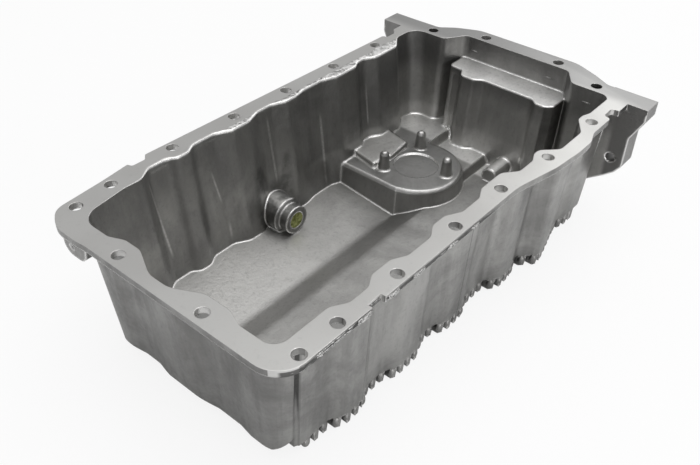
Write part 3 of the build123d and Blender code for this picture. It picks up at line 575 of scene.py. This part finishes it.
def ribbon(start, end, height, reach, seed):
    """A ragged fin of flash along the flange's near edge."""
    form = bmesh.new()
    rings = []
    count = int((end - start) / FLASH_STEP)
    root = NEAR_EDGE + FLASH_ROOT
    for index in range(count + 1):
        along = start + (end - start) * index / count
        wave = noise.noise(Vector((along * 160.0, seed, 0.0))) + 0.6 * noise.noise(Vector((along * 520.0, seed, 3.0)))
        fade = min(1.0, 8.0 * index / count, 8.0 * (count - index) / count)
        out = reach * fade * max(0.08, 0.55 + 0.7 * wave)
        middle = height + FLASH_WANDER * noise.noise(Vector((along * 210.0, seed, 7.0)))
        rings.append([form.verts.new((along, across, level)) for across, level in (
            (root, middle + FLASH_HALF),
            (NEAR_EDGE - out * 0.6, middle + FLASH_THIN_HALF),
            (NEAR_EDGE - out, middle),
            (NEAR_EDGE - out * 0.7, middle - FLASH_THIN_HALF),
            (root, middle - FLASH_HALF),
        )])
    for before, after in zip(rings, rings[1:]):
        for corner in range(len(before)):
            following = (corner + 1) % len(before)
            form.faces.new((before[corner], before[following], after[following], after[corner]))
    form.faces.new(rings[0][::-1])
    form.faces.new(rings[-1])
    return form


def detail_piece(name, forms, material):
    """Puts small details of the casting on the pan, as one piece."""
    whole = bmesh.new()
    for form in forms:
        part = bpy.data.meshes.new("part")
        form.to_mesh(part)
        whole.from_mesh(part)
        form.free()
        bpy.data.meshes.remove(part)
    bmesh.ops.recalc_face_normals(whole, faces=whole.faces)
    mesh = bpy.data.meshes.new(name)
    whole.to_mesh(mesh)
    whole.free()
    mesh.polygons.foreach_set("use_smooth", [True] * len(mesh.polygons))
    mesh.materials.append(material)
    piece = bpy.data.objects.new(name, mesh)
    scene.collection.objects.link(piece)
    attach(piece, "root")


def fin_ends():
    """The rounded near ends of the cooling fins, each where its fin meets the near wall."""
    feet = [corner.co for corner in nodes["oil_pan"].data.vertices if corner.co.z < FIN_FOOT]
    forms = []
    for index in range(FINS):
        along = FIRST_FIN + index * FIN_PITCH
        near = min((place.y for place in feet if abs(place.x - along) < FIN_HALF), default=None)
        if near is not None:
            middle = (along, near + FIN_END_INSET, FIN_END_HEIGHT)
            forms.append(lump(middle, FIN_END_HALVES, FIN_END_ROUGHNESS, index * 3.7, COARSE))
    return forms


def dress(name, material):
    """Gives a CAD node's slots this material."""
    slots = nodes[name].data.materials
    for index in range(len(slots)):
        slots[index] = material


def lamp(name, place, size, power):
    data = bpy.data.lights.new(name, "AREA")
    data.shape = "RECTANGLE"
    data.size, data.size_y = size
    data.energy = power
    item = bpy.data.objects.new(name, data)
    scene.collection.objects.link(item)
    item.location = place
    item.rotation_euler = (LAMP_AIM - Vector(place)).to_track_quat("-Z", "Y").to_euler()


def studio():
    """Pale floor and world, soft lamps and the camera."""
    bpy.ops.mesh.primitive_plane_add(size=FLOOR_SIZE, location=(0.0, 0.0, -FLOOR_DROP))
    floor = bpy.context.object
    floor.name = "floor"
    n = Nodes("floor")
    n.shader.inputs["Base Color"].default_value = (FLOOR_GREY, FLOOR_GREY, FLOOR_GREY, 1.0)
    n.shader.inputs["Roughness"].default_value = FLOOR_ROUGHNESS
    glow = n.add("ShaderNodeEmission")
    path = n.add("ShaderNodeLightPath")
    show = n.add("ShaderNodeMixShader")
    n.link(n.math("MULTIPLY", path.outputs["Is Camera Ray"], FLOOR_GLOW), show.inputs[0])
    n.link(n.shader.outputs[0], show.inputs[1])
    n.link(glow.outputs[0], show.inputs[2])
    n.link(show.outputs[0], n.tree.nodes["Material Output"].inputs["Surface"])
    floor.data.materials.append(n.material)

    world = bpy.data.worlds.new("studio")
    scene.world = world
    world.use_nodes = True
    tree = world.node_tree
    soft = tree.nodes["Background"]
    soft.inputs["Color"].default_value = WORLD_GREY
    white = tree.nodes.new("ShaderNodeBackground")
    white.inputs["Color"].default_value = WHITE
    path = tree.nodes.new("ShaderNodeLightPath")
    mixer = tree.nodes.new("ShaderNodeMixShader")
    tree.links.new(path.outputs["Is Camera Ray"], mixer.inputs[0])
    tree.links.new(soft.outputs[0], mixer.inputs[1])
    tree.links.new(white.outputs[0], mixer.inputs[2])
    tree.links.new(mixer.outputs[0], tree.nodes["World Output"].inputs["Surface"])

    for settings in LAMPS:
        lamp(*settings)

    data = bpy.data.cameras.new("camera")
    data.lens = CAMERA_LENS
    data.sensor_width = SENSOR_WIDTH
    data.clip_start = CAMERA_CLIP
    camera = bpy.data.objects.new("camera", data)
    scene.collection.objects.link(camera)
    turn = Matrix((CAMERA_RIGHT, CAMERA_UP, CAMERA_RIGHT.cross(CAMERA_UP))).transposed()
    camera.matrix_world = Matrix.Translation(CAMERA_PLACE) @ turn.to_4x4()
    scene.camera = camera
    scene.view_settings.view_transform = "Standard"


dress("oil_pan", cast_aluminium("cast_aluminium", 1.0))
dress("drain_plug", zinc_plate())
dress("drain_plug_washer", washer_metal())

fracture = broken_metal()
# The same skin with no polish and no painted highlights, for the ejector marks and the fin ends
skin_without_polish_and_highlights = cast_aluminium("cast_aluminium_without_polish_and_highlights", 0.0)
detail_piece("gate_scars", [
    lump(((start + end) / 2, NEAR_EDGE - SCAR_HALF_DEPTH, SCAR_HEIGHT),
         ((end - start) / 2, SCAR_HALF_DEPTH, SCAR_HALF_HEIGHT), SCAR_ROUGHNESS, start * 900.0, FINE)
    for start, end in GATE_SCARS
], fracture)
detail_piece("flash", [
    ribbon(start, end, height, reach, start * 700.0 + height * 90.0) for start, end, height, reach in FLASH
], fracture)
detail_piece("ejector_marks", [
    lump(place, EJECTOR_HALVES, EJECTOR_ROUGHNESS, place[1] * 500.0, COARSE) for place in EJECTOR_MARKS
], skin_without_polish_and_highlights)
detail_piece("fin_ends", fin_ends(), skin_without_polish_and_highlights)

studio()
